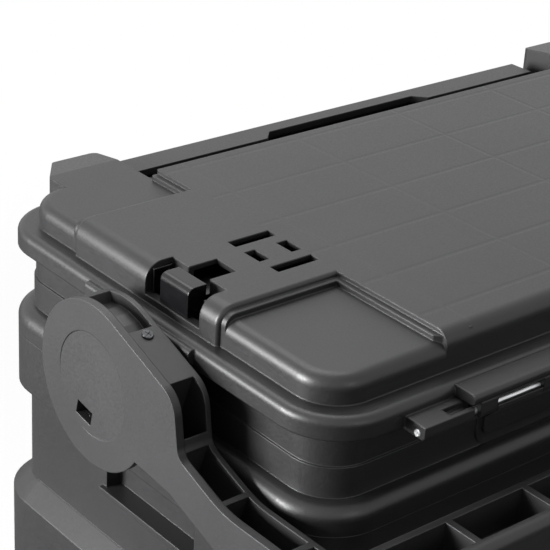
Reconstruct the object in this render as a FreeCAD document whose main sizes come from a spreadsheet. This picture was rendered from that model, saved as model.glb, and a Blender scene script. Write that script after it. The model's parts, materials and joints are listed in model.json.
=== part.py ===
import FreeCAD, Part
import Sketcher
import math
import os

# Fishing seat box: a moulded tub with a hinged lid that is the seat, a wide draw latch,
# a bail handle that swings on two hubs, a push catch in each end of the lid and two trays.
# Millimetres. X runs along the box, Y from the hinge side to the latch side, Z is up.
# The origin is on the ground under the middle of the lid flange.

os.makedirs("parts", exist_ok=True)
doc = FreeCAD.newDocument("SeatBox")

# Driving sizes: alias, value, what it measures
SIZES = [
    ("overall_height", 360, "ground to the top of the lid"),
    ("lid_length", 531, "lid flange along X"),
    ("lid_width", 284, "lid flange along Y"),
    ("corner_radius", 34, "plan radius of the flange corners"),
    ("seam_drop", 32.4, "top down to the underside of the lid"),
    ("shelf_drop", 20.7, "top down to the shelf round the lid"),
    ("shelf_end", 10.8, "shelf width at the two ends"),
    ("shelf_side", 12.6, "shelf width along the two sides"),
    ("shelf_rounding", 4.5, "rounding of the flange edge"),
    ("block_radius", 23.4, "plan radius of the raised block"),
    ("block_rounding", 7, "rounding of the raised block's upper edge"),
    ("recess_drop", 5.9, "top down to the four corner panels"),
    ("step_drop", 2.8, "top down to the ledge round each panel"),
    ("step_width", 3.4, "width of that ledge"),
    ("step_fall", 6.5, "rounding where the ledge runs down the block's end"),
    ("plateau_half", 180, "half length of the full-height top"),
    ("plateau_rounding", 8, "rounding of its front edge"),
    ("trough_depth", 35.4, "finger trough in front of the latch"),
    ("trough_half", 182.7, "half length of the finger trough"),
    ("tower_centre", 13, "Y of the raised strip that runs to each end"),
    ("tower_width", 124.2, "width of that strip"),
    ("tower_lean", 8.5, "its end face behind the flange's end"),
    ("tower_rounding", 10, "rounding at the top of its end face"),
    ("tower_edge", 2.2, "rounding of its long upper edges"),
    ("rail_reach", 3, "rail that stands out under the end face"),
    ("rail_drop", 22.5, "top down to the rail"),
    ("rail_height", 8, "height of the rail"),
    ("rail_width", 90, "length of the rail along Y"),
    ("rail_centre", 3, "Y of the rail's middle"),
    ("lid_wall", 3, "wall of the lid"),
    ("rib_pitch_long", 81.4, "spacing of the ribs along X"),
    ("rib_pitch_cross", 41.4, "spacing of the ribs along Y"),
    ("rib_centre", -3.9, "Y of the middle of the rib grid"),
    ("rib_thickness", 2, "rib under the lid top"),
    ("rib_depth", 12, "rib under the lid top"),
    ("notch_centre", -12.2, "Y of the catch notch and the slots"),
    ("notch_width", 45.2, "wide part of the notch"),
    ("notch_reach", 25.4, "wide part, from the end face inwards"),
    ("notch_drop", 16.6, "top down to the ledge of the notch"),
    ("head_width", 17, "narrow part of the notch"),
    ("head_reach", 17.3, "narrow part, further inwards"),
    ("slot_centre", 192.4, "X of the four accessory slots"),
    ("slot_length", 27.3, "long slots"),
    ("slot_width", 7, "width of the slots"),
    ("slot_spread", 34.9, "between the long slots' middles"),
    ("slot_short", 12.8, "short slots"),
    ("slot_gap", 21.4, "between the short slots' middles"),
    ("ear_inner", 182.7, "X of the ears' inner face"),
    ("ear_root", 230.4, "X where an ear leaves the flange"),
    ("ear_tip", 212.4, "X of an ear's outer corner"),
    ("ear_reach", 23.2, "how far an ear stands out behind the flange"),
    ("ear_fall", 3.8, "slope of an ear's top"),
    ("ear_rounding", 4, "upright corners of the ears"),
    ("pin_reach", 8.3, "hinge rod axis outside the flange"),
    ("pin_drop", 31.9, "top down to the hinge rod axis"),
    ("pin_radius", 2.05, "hinge rod"),
    ("pin_half", 217.3, "half length of the hinge rod"),
    ("pin_clearance", 0.05, "round the hinge rod in the lid"),
    ("knuckle_radius", 4.3, "hinge knuckles"),
    ("knuckle_pitch", 43.3, "spacing of the knuckles"),
    ("knuckle_width", 31.5, "knuckles of the tub"),
    ("knuckle_gap", 0.5, "between neighbouring knuckles"),
    ("cover_half", 184.5, "half length of the hinge cover"),
    ("cover_reach", 13.2, "hinge cover outside the flange"),
    ("cover_thickness", 5.7, "hinge cover"),
    ("cover_rounding", 2.4, "edge of the hinge cover"),
    ("end_block_length", 32.4, "block at each end of the hinge"),
    ("end_block_reach", 13.6, "that block outside the flange"),
    ("end_block_top", 27, "top down to that block's upper face"),
    ("end_block_height", 7.2, "that block"),
    ("end_block_rounding", 2.4, "lower front edge of that block"),
    ("liner_gap", 0.3, "round and under the lid liner"),
    ("liner_thickness", 3, "lid liner"),
    ("seal_height", 1.9, "rubber seal"),
    ("seal_width", 4, "rubber seal"),
    ("screw_radius", 1.5, "liner screws"),
    ("screw_head", 3.6, "head radius of the liner screws"),
    ("screw_head_height", 1.7, "head of the liner screws"),
    ("screw_length", 14, "shank of the liner screws"),
    ("screw_boss", 4, "radius of the bosses for the screws"),
    ("seam_gap", 0.8, "between lid and rim"),
    ("rim_inset", 10, "rim inside the flange"),
    ("rim_step", 1, "step in the rim"),
    ("rim_step_drop", 52.2, "top down to that step"),
    ("band_top_drop", 69.3, "top down to the wide band"),
    ("band_split_drop", 85, "top down to the joint of frame and tub"),
    ("band_low_drop", 125, "top down to the band's lower edge"),
    ("band_rounding", 8, "upper edge of the band"),
    ("band_chamfer", 7, "lower edge of the band"),
    ("wall_inset", 7.2, "tub wall inside the flange"),
    ("base_height", 180, "ground to the top of the wide base"),
    ("base_outset", 3.6, "wide base outside the flange"),
    ("base_chamfer", 10.4, "slope on top of the base"),
    ("skirt_height", 34, "ground to the top of the skirt"),
    ("skirt_outset", 5.6, "skirt outside the flange"),
    ("tub_wall", 3, "wall of the tub and the frame"),
    ("foot_height", 4, "rubber feet"),
    ("foot_radius", 17, "rubber feet"),
    ("foot_inset", 52, "feet inside the flange"),
    ("ledge_drop", 41, "top down to the tray ledge"),
    ("ledge_thickness", 3, "tray ledge"),
    ("ledge_width", 5, "tray ledge"),
    ("grip_niche_half", 39.6, "half width of the lifting recess"),
    ("grip_niche_low", 212, "ground to the recess"),
    ("grip_niche_height", 22, "lifting recess"),
    ("grip_niche_depth", 9, "lifting recess"),
    ("grip_lip", 3, "lip under the recess"),
    ("hinge_panel_half", 157.5, "half length of the panel under the hinge"),
    ("hinge_panel_low", 69, "top down to that panel's lower edge"),
    ("hinge_panel_raise", 1.8, "panel in front of the rim"),
    ("hinge_panel_radius", 9, "lower corners of the panel"),
    ("hinge_wedge_half", 154, "half length of the raised plate on it"),
    ("hinge_wedge_low", 62.5, "top down to the plate's lower edge"),
    ("brace_lip", 2, "upright edge of the brace under the knuckles"),
    ("hub_radius", 45, "round end of the handle"),
    ("groove_radius", 39, "floor of the groove along the hub's upper edge"),
    ("pivot_y", 5.3, "Y of the handle axis"),
    ("pivot_drop", 56.7, "top down to the handle axis"),
    ("boss_radius", 20, "boss that carries the handle"),
    ("arm_clearance", 5, "between the flange and the arm"),
    ("arm_depth", 17.5, "channel of the arm along X"),
    ("arm_plate", 3, "inner plate of the arm"),
    ("arm_skin", 3, "lower wall and ribs of the arm"),
    ("arm_slope", 19.5, "degrees the arm falls away from level"),
    ("arm_low", 3.4, "arm's lower edge under the axis"),
    ("arm_root", 10.4, "the same beside the hub"),
    ("arm_high", 18.6, "arm's upper edge over the axis"),
    ("neck_reach", 55.2, "wide neck next to the hub"),
    ("arm_start", 69.7, "where the narrow arm starts"),
    ("arm_knee", 108, "where the arm levels out"),
    ("cover_plate", 4.5, "outer plate of the handle"),
    ("cover_margin", 0.8, "outer plate round the channel"),
    ("dish_radius", 29, "shallow dish in the outer plate"),
    ("dish_depth", 0.5, "shallow dish at its middle"),
    ("dish_tilt", 1.1, "degrees the dish's floor is tipped"),
    ("key_length", 13, "key hole in the outer plate"),
    ("key_width", 8, "key hole in the outer plate"),
    ("key_drop", 19, "key hole under the handle axis"),
    ("key_offset", 6.8, "key hole behind the handle axis"),
    ("key_slope", 11, "degrees the key hole falls"),
    ("key_depth", 8, "key hole behind the outer plate"),
    ("grip_near", 166.4, "grip, nearest face to the handle axis"),
    ("grip_wide", 34, "grip along Y"),
    ("grip_top", -17.5, "grip's upper face from the axis"),
    ("grip_tall", 30, "grip along Z"),
    ("grip_wall", 7, "wall of the grip"),
    ("grip_rounding", 5, "edges of the grip"),
    ("cell_pitch", 52, "cells in the grip along X"),
    ("cell_length", 48, "cells in the grip along X"),
    ("cell_depth", 20, "cells in the grip"),
    ("bolt_radius", 6, "handle bolts"),
    ("bolt_clearance", 0.05, "round the handle bolts"),
    ("bolt_head", 11, "head radius of the handle bolts"),
    ("bolt_head_height", 5, "head of the handle bolts"),
    ("washer_radius", 14, "washer between boss and arm"),
    ("washer_height", 1.5, "washer between boss and arm"),
    ("handle_gap", 0.3, "between washer and arm"),
    ("nut_radius", 10, "nut inside the tub"),
    ("nut_height", 4.6, "nut inside the tub"),
    ("latch_half", 179.7, "half length of the latch"),
    ("latch_bar_half", 168, "half length of the bar on it"),
    ("latch_near", 0.7, "bar outside the flange"),
    ("latch_reach", 20.5, "latch outside the flange"),
    ("latch_top_drop", 17.1, "top down to the bar"),
    ("latch_wall", 4, "wall of the latch"),
    ("latch_bar_thickness", 4.5, "bar of the latch"),
    ("latch_pivot_reach", 10.5, "latch axis outside the flange"),
    ("latch_pivot_drop", 68, "top down to the latch axis"),
    ("latch_barrel", 6, "barrel radius of the latch"),
    ("latch_pin", 2.5, "latch pins"),
    ("finger_half", 61, "half length of the finger notch"),
    ("finger_slope", 9, "raked ends of the finger notch"),
    ("finger_depth", 8.1, "finger notch"),
    ("catch_width", 23, "push catch along Y"),
    ("catch_face", 9.7, "catch behind the flange's end"),
    ("catch_length", 11.2, "catch along X"),
    ("catch_top_drop", 0.2, "top down to the catch"),
    ("catch_rounding", 4, "upper edge of the catch"),
    ("catch_skirt", 3.8, "front wall of the catch"),
    ("catch_travel", 4, "how far the catch is pushed in"),
    ("catch_stop", 0.5, "left in front of the guide's floor at full travel"),
    ("catch_tongue", 17, "tongue behind the catch"),
    ("catch_tongue_height", 6, "tongue behind the catch"),
    ("guide_wall", 2, "walls of the catch guide"),
    ("guide_face", 12.5, "guide walls behind the flange's end"),
    ("tray_gap", 0.5, "round the trays"),
    ("tray_wall", 2.5, "trays"),
    ("tray_depth", 58, "trays under the ledge"),
    ("tray_lip", 2.4, "lip of the trays"),
    ("rail_bar_half", 12, "half width of the bar between the trays"),
    ("rail_bar_height", 8, "bar between the trays"),
    ("divider_thickness", 2, "tray dividers"),
    ("divider_height", 50, "tray dividers"),
]


class Size:
    """A size that carries its number and its formula in the sheet."""

    def __init__(self, formula, number):
        self.formula = formula
        self.number = float(number)

    def __add__(self, other):
        other = as_size(other)
        return Size(f"({self.formula} + {other.formula})", self.number + other.number)

    def __sub__(self, other):
        other = as_size(other)
        return Size(f"({self.formula} - {other.formula})", self.number - other.number)

    def __mul__(self, other):
        other = as_size(other)
        return Size(f"({self.formula} * {other.formula})", self.number * other.number)

    def __truediv__(self, other):
        other = as_size(other)
        return Size(f"({self.formula} / {other.formula})", self.number / other.number)

    def __radd__(self, other):
        return as_size(other) + self

    def __rsub__(self, other):
        return as_size(other) - self

    def __rmul__(self, other):
        return as_size(other) * self

    def __neg__(self):
        return Size(f"(0 - {self.formula})", -self.number)


def as_size(value):
    if isinstance(value, Size):
        return value
    return Size(f"({float(value)})", value)


def bind(target, path, size):
    target.setExpression(path, as_size(size).formula)


class Sheet:
    """The named sizes as attributes."""


sheet = doc.addObject("Spreadsheet::Sheet", "Sizes")
s = Sheet()
for row, (alias, value, meaning) in enumerate(SIZES, start=1):
    sheet.set(f"A{row}", alias)
    sheet.set(f"B{row}", str(value))
    sheet.set(f"C{row}", meaning)
    sheet.setAlias(f"B{row}", alias)
    setattr(s, alias, Size(f"Sizes.{alias}", value))
doc.recompute()


def cosine(angle):
    angle = as_size(angle)
    return Size(f"cos({angle.formula} * 1 deg)", math.cos(math.radians(angle.number)))


def sine(angle):
    angle = as_size(angle)
    return Size(f"sin({angle.formula} * 1 deg)", math.sin(math.radians(angle.number)))


# Outlines: each returns a function that draws itself, fully constrained, in a sketch
def place_point(sketch, geometry, point, x, y):
    for kind, value in (("DistanceX", x), ("DistanceY", y)):
        size = as_size(value)
        index = sketch.addConstraint(Sketcher.Constraint(kind, -1, 1, geometry, point, size.number))
        bind(sketch, f"Constraints[{index}]", size)


def polygon(*points):
    def draw(sketch):
        first = sketch.GeometryCount
        count = len(points)
        numbers = [FreeCAD.Vector(as_size(x).number, as_size(y).number, 0) for x, y in points]
        for i in range(count):
            sketch.addGeometry(Part.LineSegment(numbers[i], numbers[(i + 1) % count]), False)
        for i in range(count):
            sketch.addConstraint(Sketcher.Constraint("Coincident", first + i, 2, first + (i + 1) % count, 1))
        for i, (x, y) in enumerate(points):
            place_point(sketch, first + i, 1, x, y)
    return draw


def rectangle(left, right, low, high):
    return polygon((left, low), (right, low), (right, high), (left, high))


def circle(x, y, radius):
    def draw(sketch):
        centre = FreeCAD.Vector(as_size(x).number, as_size(y).number, 0)
        round_line = Part.Circle(centre, FreeCAD.Vector(0, 0, 1), as_size(radius).number)
        index = sketch.addGeometry(round_line, False)
        place_point(sketch, index, 3, x, y)
        size = sketch.addConstraint(Sketcher.Constraint("Radius", index, as_size(radius).number))
        bind(sketch, f"Constraints[{size}]", radius)
    return draw


def rounded(left, right, low, high, radius):
    """A rectangle with four equal round corners."""
    def draw(sketch):
        a, b, c, d, r = [as_size(v).number for v in (left, right, low, high, radius)]
        first = sketch.GeometryCount
        ends = [((a + r, c), (b - r, c)), ((b, c + r), (b, d - r)), ((b - r, d), (a + r, d)), ((a, d - r), (a, c + r))]
        centres = [(b - r, c + r), (b - r, d - r), (a + r, d - r), (a + r, c + r)]
        for i in range(4):
            start, end = [FreeCAD.Vector(x, y, 0) for x, y in ends[i]]
            sketch.addGeometry(Part.LineSegment(start, end), False)
            corner = Part.Circle(FreeCAD.Vector(*centres[i], 0), FreeCAD.Vector(0, 0, 1), r)
            turn = (i - 1) * math.pi / 2
            sketch.addGeometry(Part.ArcOfCircle(corner, turn, turn + math.pi / 2), False)
        for i in range(4):
            line = first + 2 * i
            following = first + (2 * i + 2) % 8
            sketch.addConstraint(Sketcher.Constraint("Tangent", line, 2, line + 1, 1))
            sketch.addConstraint(Sketcher.Constraint("Tangent", line + 1, 2, following, 1))
            sketch.addConstraint(Sketcher.Constraint("Horizontal" if i % 2 == 0 else "Vertical", line))
        for i in range(1, 4):
            sketch.addConstraint(Sketcher.Constraint("Equal", first + 1, first + 1 + 2 * i))
        index = sketch.addConstraint(Sketcher.Constraint("Radius", first + 1, r))
        bind(sketch, f"Constraints[{index}]", radius)
        sides = (("DistanceY", 0, low), ("DistanceX", 2, right), ("DistanceY", 4, high), ("DistanceX", 6, left))
        for kind, line, value in sides:
            size = as_size(value)
            index = sketch.addConstraint(Sketcher.Constraint(kind, -1, 1, first + line, 1, size.number))
            bind(sketch, f"Constraints[{index}]", size)
    return draw


# Edge tests for roundings and chamfers
def near(a, b):
    return abs(a - b) < 0.05


def level_loop(height):
    """Every edge that lies flat at one height."""
    def test(box):
        return near(box.ZMin, as_size(height).number) and near(box.ZMax, as_size(height).number)
    return test


def edge_along(axis, first, second):
    """Straight edges along one axis, at the other two coordinates in XYZ order."""
    def test(box):
        spans = {"X": (box.XMin, box.XMax), "Y": (box.YMin, box.YMax), "Z": (box.ZMin, box.ZMax)}
        others = [name for name in "XYZ" if name != axis]
        places = [as_size(first).number, as_size(second).number]
        return all(near(end, place) for name, place in zip(others, places) for end in spans[name])
    return test


def any_of(*tests):
    return lambda box: any(test(box) for test in tests)


class Piece:
    """One sub-part: a body that grows by pads, pockets, roundings and chamfers.
    A pad or pocket fills the space from start to start + length along its axis."""

    def __init__(self, name):
        self.body = doc.addObject("PartDesign::Body", name)
        self.body.Label = name
        self.body.AllowCompound = True
        PIECES.append(self.body)

    def shape_from(self, kind, plane, start, outlines, length):
        support = [f for f in self.body.Origin.OriginFeatures if f.Role == plane + "_Plane"][0]
        sketch = self.body.newObject("Sketcher::SketchObject", "Outline")
        sketch.AttachmentSupport = [(support, "")]
        sketch.MapMode = "FlatFace"
        offset = -(as_size(start) + length) if plane == "XZ" else as_size(start)
        bind(sketch, "AttachmentOffset.Base.z", offset)
        for draw in outlines:
            draw(sketch)
        feature = self.body.newObject("PartDesign::" + kind, kind)
        feature.Profile = sketch
        feature.Type = "Length"
        bind(feature, "Length", length)
        feature.Reversed = kind == "Pocket"
        return feature

    def add(self, plane, start, outlines, length):
        return self.shape_from("Pad", plane, start, outlines, length)

    def cut(self, plane, start, outlines, length):
        return self.shape_from("Pocket", plane, start, outlines, length)

    def cut_tipped(self, plane, start, x, y, outlines, length, tilt):
        """A pocket drawn round a point of its plane and tipped about the plane's diagonal."""
        feature = self.cut(plane, start, outlines, length)
        sketch = feature.Profile[0]
        sketch.AttachmentOffset = FreeCAD.Placement(
            FreeCAD.Vector(), FreeCAD.Rotation(FreeCAD.Vector(1, 1, 0), tilt.number)
        )
        bind(sketch, "AttachmentOffset.Base.z", start)
        bind(sketch, "AttachmentOffset.Base.x", x)
        bind(sketch, "AttachmentOffset.Base.y", y)
        bind(sketch, "AttachmentOffset.Rotation.Angle", tilt)
        return feature

    def soften(self, kind, size, test):
        doc.recompute()
        base = self.body.Tip
        names = [f"Edge{i}" for i, edge in enumerate(base.Shape.Edges, start=1) if test(edge.BoundBox)]
        if not names:
            raise ValueError(f"{self.body.Label}: no edge to treat with {kind}")
        feature = self.body.newObject("PartDesign::" + kind, kind)
        feature.Base = (base, names)
        bind(feature, "Radius" if kind == "Fillet" else "Size", size)
        return feature

    def fillet(self, radius, test):
        return self.soften("Fillet", radius, test)

    def chamfer(self, size, test):
        return self.soften("Chamfer", size, test)


PIECES = []


def mirrored(piece, name):
    """The same sub-part at the other end of the box."""
    copy = doc.addObject("Part::Mirroring", name)
    copy.Label = name
    copy.Source = piece.body
    copy.Normal = FreeCAD.Vector(1, 0, 0)
    PIECES.append(copy)
    return copy


# Levels and planes that several pieces share
half_long = s.lid_length / 2
half_wide = s.lid_width / 2
top = s.overall_height
shelf = top - s.shelf_drop
seam = top - s.seam_drop
panel = top - s.recess_drop
ledge = top - s.step_drop
rim_top = seam - s.seam_gap
rim_step = top - s.rim_step_drop
band_top = top - s.band_top_drop
band_split = top - s.band_split_drop
band_low = top - s.band_low_drop
block_front = -(half_wide - s.shelf_side)
trough_front = half_wide - s.trough_depth
tower_front = s.tower_centre - s.tower_width / 2
tower_back = s.tower_centre + s.tower_width / 2
pin_y = -(half_wide + s.pin_reach)
pin_z = top - s.pin_drop
pivot_z = top - s.pivot_drop
latch_y = half_wide + s.latch_pivot_reach
latch_z = top - s.latch_pivot_drop
notch_floor = top - s.notch_drop
notch_back = half_long - s.notch_reach
head_back = notch_back - s.head_reach
rim_face = half_wide - s.rim_inset
end_face = half_long - s.rim_inset
arm_inner = half_long + s.arm_clearance
arm_outer = arm_inner + s.arm_depth
tray_ledge = top - s.ledge_drop
OVERLAP = 1


def ring_outline(inset, end_inset=None):
    """The plan outline of the flange, drawn in by an inset; a negative inset stands out."""
    end_inset = inset if end_inset is None else end_inset
    along = half_long - end_inset
    across = half_wide - inset
    return rounded(-along, along, -across, across, s.corner_radius - inset)


def spans(side, near_x, far_x):
    """An X range at one end of the box, lowest first."""
    return (near_x, far_x) if side > 0 else (-as_size(far_x), -as_size(near_x))


# Lower tub: straight walls over a wide base, with a lifting recess in each end
def build_lower_tub():
    tub = Piece("lower_tub")
    bottom = s.foot_height
    tub.add("XY", bottom, [ring_outline(-s.skirt_outset)], s.skirt_height - bottom)
    tub.chamfer(s.skirt_outset - s.base_outset - 0.2, level_loop(s.skirt_height))
    tub.add("XY", bottom, [ring_outline(-s.base_outset)], s.base_height - bottom)
    tub.chamfer(s.base_chamfer, level_loop(s.base_height))
    tub.add("XY", band_low, [ring_outline(0)], band_split - band_low)
    tub.chamfer(s.band_chamfer, level_loop(band_low))
    tub.add("XY", bottom, [ring_outline(s.wall_inset)], band_split - bottom)
    floor = bottom + s.tub_wall
    wall_inside = s.wall_inset + s.tub_wall
    slope = s.base_outset + s.wall_inset
    tub.cut("XY", floor, [ring_outline(wall_inside)], band_split - floor)
    tub.cut("XY", floor, [ring_outline(s.tub_wall - s.base_outset)], s.base_height - slope - s.tub_wall - floor)
    band_hollow = band_low + s.wall_inset + s.tub_wall
    tub.cut("XY", band_hollow, [ring_outline(s.tub_wall)], band_split - band_hollow)
    wall_face = half_long - s.wall_inset
    low = s.grip_niche_low
    high = low + s.grip_niche_height
    half = s.grip_niche_half
    for side in (-1, 1):
        start, end = spans(side, wall_face - s.grip_niche_depth - s.tub_wall, wall_face - s.tub_wall / 2)
        box = rectangle(-half - s.tub_wall, half + s.tub_wall, low - s.tub_wall, high + s.tub_wall)
        tub.add("YZ", start, [box], end - start)
        start, end = spans(side, wall_face - s.grip_niche_depth, wall_face + OVERLAP)
        tub.cut("YZ", start, [rectangle(-half, half, low, high)], end - start)
        start, end = spans(side, wall_face - OVERLAP, wall_face + s.grip_lip)
        lip = rectangle(-half - s.grip_lip, half + s.grip_lip, low - s.grip_lip, low)
        tub.add("YZ", start, [lip], end - start)
    return tub


# Rubber feet under the tub's corners and its middle
def build_feet():
    feet = Piece("base_feet")
    x = half_long - s.foot_inset
    y = half_wide - s.foot_inset
    places = [circle(x * i, y * j, s.foot_radius) for i in (-1, 1) for j in (-1, 1)]
    places.append(circle(0, 0, s.foot_radius))
    feet.add("XY", 0, places, s.foot_height)
    feet.chamfer(1, level_loop(0))
    return feet


def knuckle_windows(count, width, low, high):
    """Gaps between knuckles, seen from the hinge side, centred on the box."""
    outlines = []
    for i in range(count):
        x = s.knuckle_pitch * (i - (count - 1) / 2)
        outlines.append(rectangle(x - width / 2, x + width / 2, low, high))
    return outlines


# Upper frame: the rim under the lid, the band, the hinge knuckles, handle bosses and latch lugs
def build_upper_frame():
    frame = Piece("upper_frame")
    frame.add("XY", band_split, [ring_outline(0)], band_top - band_split)
    frame.fillet(s.band_rounding, level_loop(band_top))
    frame.add("XY", band_split, [ring_outline(s.rim_inset - s.rim_step)], rim_step - band_split)
    frame.add("XY", band_split, [ring_outline(s.rim_inset)], rim_top - band_split)
    inside = s.rim_inset + s.tub_wall
    ledge_inside = inside + s.ledge_width
    ledge_under = tray_ledge - s.ledge_thickness
    frame.cut("XY", band_split, [ring_outline(ledge_inside)], rim_top - band_split)
    frame.cut("XY", tray_ledge, [ring_outline(inside)], rim_top - tray_ledge)
    frame.cut("XY", band_split, [ring_outline(inside)], ledge_under - band_split)
    band_hollow = band_top - s.band_rounding - band_split
    frame.cut("XY", band_split, [ring_outline(s.tub_wall)], band_hollow)
    # panel and wedge under the hinge
    wall = -rim_face
    low = top - s.hinge_panel_low
    high = rim_top - s.rim_step * 3
    half = s.hinge_panel_half
    front = wall - s.hinge_panel_raise
    frame.add("XZ", front, [rectangle(-half, half, low, high)], s.hinge_panel_raise + OVERLAP)
    frame.fillet(s.hinge_panel_radius, any_of(edge_along("Y", -half, low), edge_along("Y", half, low)))
    plate_low = top - s.hinge_wedge_low
    plate_face = wall - s.hinge_panel_raise * 2
    wedge_top = pin_z - s.knuckle_radius - s.knuckle_gap
    half = s.hinge_wedge_half
    plate = rectangle(-half, half, plate_low, wedge_top)
    frame.add("XZ", plate_face, [plate], s.hinge_panel_raise * 2 + OVERLAP)
    corners = [edge_along("Y", x, plate_low) for x in (-half, half)]
    frame.fillet(s.hinge_panel_radius / 2, any_of(*corners))
    # a brace runs out under the knuckles
    brace_y = pin_y + s.knuckle_radius
    brace_low = wedge_top - s.brace_lip
    wedge = polygon(
        (wall + OVERLAP, wedge_top),
        (brace_y, wedge_top),
        (brace_y, brace_low),
        (plate_face, brace_low - (plate_face - brace_y)),
        (wall + OVERLAP, brace_low - (plate_face - brace_y)),
    )
    frame.add("YZ", -half, [wedge], half * 2)
    # knuckles: one long open hook, cut into lengths
    r = s.knuckle_radius
    hook = polygon(
        (pin_y - r, pin_z + s.knuckle_gap),
        (pin_y - r, pin_z - r * 0.4),
        (pin_y - r * 0.45, pin_z - r * 1.05),
        (pin_y + r, wedge_top - r * 1.4),
        (pin_y + r * 1.6, wedge_top - r * 0.5),
        (pin_y + r, pin_z - r * 0.5),
        (pin_y + r, pin_z + s.knuckle_gap),
    )
    span = s.knuckle_pitch * 3.5 + s.knuckle_width / 2
    frame.add("YZ", -span, [hook], span * 2)
    gap_width = s.knuckle_pitch - s.knuckle_width
    windows = knuckle_windows(7, gap_width, wedge_top - 0.01, pin_z + r * 2)
    frame.cut("XZ", pin_y - r * 2, windows, r * 4)
    frame.cut("YZ", -span - OVERLAP, [circle(pin_y, pin_z, s.pin_radius)], span * 2 + OVERLAP * 2)
    # bosses for the handle bolts and lugs for the latch pins
    boss_end = arm_inner - s.handle_gap - s.washer_height
    for side in (-1, 1):
        start, end = spans(side, end_face - OVERLAP, boss_end)
        frame.add("YZ", start, [circle(s.pivot_y, pivot_z, s.boss_radius)], end - start)
        start, end = spans(side, end_face - s.tub_wall - OVERLAP, boss_end + OVERLAP)
        frame.cut("YZ", start, [circle(s.pivot_y, pivot_z, s.bolt_radius)], end - start)
        start, end = spans(side, s.ear_inner, s.ear_tip)
        reach = latch_y + s.latch_barrel
        lug = polygon(
            (rim_face - OVERLAP, band_split + 3),
            (latch_y, band_split + 3),
            (reach, latch_z - s.latch_barrel),
            (reach, rim_top - 5),
            (latch_y, rim_top - 1),
            (rim_face - OVERLAP, rim_top - 1),
        )
        frame.add("YZ", start, [lug], end - start)
        start, end = spans(side, s.ear_inner - OVERLAP, s.ear_tip - s.tub_wall)
        frame.cut("YZ", start, [circle(latch_y, latch_z, s.latch_pin)], end - start)
    return frame


# Hinge rod through every knuckle
def build_hinge_rod():
    rod = Piece("hinge_rod")
    rod.add("YZ", -s.pin_half, [circle(pin_y, pin_z, s.pin_radius)], s.pin_half * 2)
    rod.chamfer(0.5, lambda box: near(abs(box.XMin), s.pin_half.number) and box.XLength < 0.05)
    return rod


# Lid shell: flange, raised block with four corner panels, end strips, ears and hinge
def build_lid_shell():
    lid = Piece("lid_shell")
    lid.add("XY", seam, [ring_outline(0)], s.seam_drop - s.shelf_drop)
    lid.fillet(s.shelf_rounding, level_loop(shelf))
    block_x = half_long - s.shelf_end
    block = rounded(-block_x, block_x, block_front, -block_front, s.block_radius)
    lid.add("XY", seam, [block], panel - seam)
    lid.fillet(s.block_rounding, level_loop(panel))
    half = s.plateau_half
    wide = half + s.step_width
    # full-height top and the ledge beside it
    lid.add("XY", shelf, [rectangle(-half, half, block_front, trough_front)], s.shelf_drop)
    lid.fillet(s.plateau_rounding, edge_along("X", block_front, top))
    step_front = block_front + s.step_width
    cut_off = s.step_width
    step = polygon(
        (-wide, trough_front),
        (-wide, step_front + cut_off),
        (-wide + cut_off, step_front),
        (wide - cut_off, step_front),
        (wide, step_front + cut_off),
        (wide, trough_front),
    )
    lid.add("XY", shelf, [step], ledge - shelf)
    # the strip that runs out to each end and leans in as it rises
    for side in (-1, 1):
        lean = (half_long - s.tower_lean) * side
        strip = rectangle(*spans(side, half - OVERLAP, half_long - s.tower_lean), seam, top)
        lid.add("XZ", tower_front, [strip], s.tower_width)
        lid.fillet(s.tower_rounding, edge_along("Y", lean, top))
        lid.fillet(s.tower_edge, any_of(edge_along("Z", lean, tower_front), edge_along("Z", lean, tower_back)))
        start, end = spans(side, half - OVERLAP - s.step_fall, block_x)
        ledge_strip = rounded(start, end, shelf, ledge, s.step_fall)
        lid.add("XZ", tower_front - s.step_width, [ledge_strip], s.tower_width + s.step_width * 2)
        start, end = spans(side, half_long - s.tower_lean, half_long + s.rail_reach)
        rail_low = s.rail_centre - s.rail_width / 2
        rail_top = top - s.rail_drop
        rail = rectangle(rail_low, rail_low + s.rail_width, rail_top - s.rail_height, rail_top)
        lid.add("YZ", start, [rail], end - start)
        lid.fillet(s.rail_reach * 0.8, edge_along("Y", (half_long + s.rail_reach) * side, rail_top))
    # finger trough in front of the latch
    trough = rectangle(-s.trough_half, s.trough_half, trough_front, half_wide + OVERLAP)
    lid.cut("XY", shelf, [trough], s.shelf_drop + OVERLAP)
    # ears at the two ends of the latch
    back = half_wide + s.ear_reach
    for side in (-1, 1):
        ear = polygon(
            (s.ear_inner * side, trough_front),
            (s.ear_inner * side, back),
            (s.ear_tip * side, back),
            (s.ear_root * side, half_wide - OVERLAP * 2),
            (s.ear_root * side, trough_front),
        )
        lid.add("XY", seam, [ear], panel - seam)
        upright = [edge_along("Z", x * side, back) for x in (s.ear_inner, s.ear_tip)]
        lid.fillet(s.ear_rounding, any_of(*upright))
    fall = polygon((half_wide, panel), (back + OVERLAP, panel - s.ear_fall), (back + OVERLAP, panel + OVERLAP))
    lid.cut("YZ", -s.ear_root - OVERLAP, [fall], s.ear_root * 2 + OVERLAP * 2)
    return lid


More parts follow.
